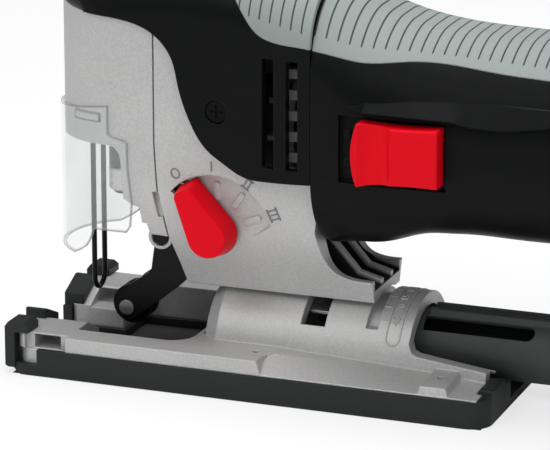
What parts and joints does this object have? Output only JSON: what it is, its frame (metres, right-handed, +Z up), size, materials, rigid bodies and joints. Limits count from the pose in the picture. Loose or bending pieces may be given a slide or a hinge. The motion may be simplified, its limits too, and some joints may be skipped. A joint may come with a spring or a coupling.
{
  "type": "jigsaw",
  "caption": "Barrel-grip jigsaw with a tilting base, sliding sole, guide roller on a pendulum lever, slide switch, clear guard and dust tube, with its gear head and motor inside.",
  "frame": {"origin": "centre of the sole's bottom face", "axes": "+X to the rear of the tool, +Y to the tool's right, +Z up"},
  "size_m": [0.2875, 0.0749, 0.1332],
  "materials": {
    "sole_plastic": "satin moulded plastic",
    "casting": "bead blasted casting",
    "black_plastic": "fine texture",
    "grip_rubber": "soft matt",
    "clear_plastic": "clear",
    "red_plastic": "gloss",
    "grey_plastic": "plain moulded",
    "steel": "bright",
    "dark_steel": "blackened",
    "copper": "enamelled wire and copper",
    "bronze": "sintered bronze",
    "carbon": "carbon"
  },
  "bodies": {
    "base": {"sliding_sole": "sole_plastic", "base_plate": "casting"},
    "dust_tube": {"dust_tube": "black_plastic"},
    "housing": {"gear_housing": "casting", "gear_cover": "casting", "wire_guard": "dark_steel", "front_shroud": "black_plastic", "front_grip": "grip_rubber", "handle_shell_left": "black_plastic", "handle_shell_right": "black_plastic", "rear_grip": "grip_rubber", "switch_module": "grey_plastic", "lever_pivot_pin": "dark_steel", "lower_bush": "bronze", "upper_bush": "bronze", "gear_axle": "steel", "front_bearing": "steel", "rear_bearing": "steel", "stator": "dark_steel", "field_coils": "copper", "brush_holders": "grey_plastic", "carbon_brushes": "carbon", "base_clamp_plate": "steel", "base_clamp_screw": "dark_steel", "shroud_screws": "dark_steel", "handle_screws": "dark_steel", "cord_inlet": "black_plastic"},
    "lever": {"roller_lever": "dark_steel", "roller_axle": "steel"},
    "roller": {"guide_roller": "dark_steel"},
    "knob": {"pendulum_knob": "red_plastic", "knob_shaft": "steel"},
    "switch": {"switch_button": "red_plastic", "switch_link": "grey_plastic"},
    "armature": {"armature_shaft": "steel", "armature_core": "dark_steel", "armature_winding": "copper", "commutator": "copper", "cooling_fan": "grey_plastic", "pinion": "steel"},
    "gear": {"drive_gear": "steel", "crank_pin": "steel"},
    "plunger": {"plunger_rod": "steel", "yoke": "steel", "blade_clamp": "dark_steel"},
    "sleeve": {"clamp_sleeve": "steel"},
    "guard": {"clear_guard": "clear_plastic"}
  },
  "joints": [
    {"name": "bevel_tilt", "type": "hinge", "parent": "base", "child": "housing", "pos_m": [0, 0, 0.0081], "axis": [1, 0, 0], "range_deg": [-45, 45]},
    {"name": "tube_slide", "type": "slide", "parent": "base", "child": "dust_tube", "axis": [1, 0, 0], "range_m": [0, 0.012]},
    {"name": "lever_swing", "type": "hinge", "parent": "housing", "child": "lever", "pos_m": [-0.036, 0, 0.0429], "axis": [0, -1, 0], "range_deg": [0, 16]},
    {"name": "roller_spin", "type": "hinge", "parent": "lever", "child": "roller", "pos_m": [-0.05, 0, 0.0164], "axis": [0, 1, 0], "continuous": true},
    {"name": "knob_turn", "type": "hinge", "parent": "housing", "child": "knob", "pos_m": [-0.0145, 0, 0.04875], "axis": [0, 1, 0], "range_deg": [0, 99]},
    {"name": "switch_slide", "type": "slide", "parent": "housing", "child": "switch", "axis": [-1, 0, 0], "range_m": [0, 0.005]},
    {"name": "motor_spin", "type": "hinge", "parent": "housing", "child": "armature", "pos_m": [0, 0, 0.084], "axis": [1, 0, 0], "range_deg": [0, 600]},
    {"name": "gear_turn", "type": "hinge", "parent": "housing", "child": "gear", "pos_m": [0, 0, 0.0628], "axis": [1, 0, 0], "range_deg": [-123, 0.2]},
    {"name": "plunger_stroke", "type": "slide", "parent": "housing", "child": "plunger", "axis": [0, 0, 1], "range_m": [-0.0206, 0.0001]},
    {"name": "sleeve_turn", "type": "hinge", "parent": "plunger", "child": "sleeve", "pos_m": [-0.053, 0, 0.058], "axis": [0, 0, 1], "range_deg": [0, 60], "stiffness_Nm_per_rad": 0.01},
    {"name": "guard_slide", "type": "slide", "parent": "housing", "child": "guard", "axis": [0, 0, 1], "range_m": [0, 0.02]}
  ],
  "couplings": [
    {"joint": "gear_turn", "follows": "motor_spin", "ratio": -0.20455},
    {"joint": "plunger_stroke", "follows": "motor_spin", "m_per_rad": -0.0019575}
  ]
}
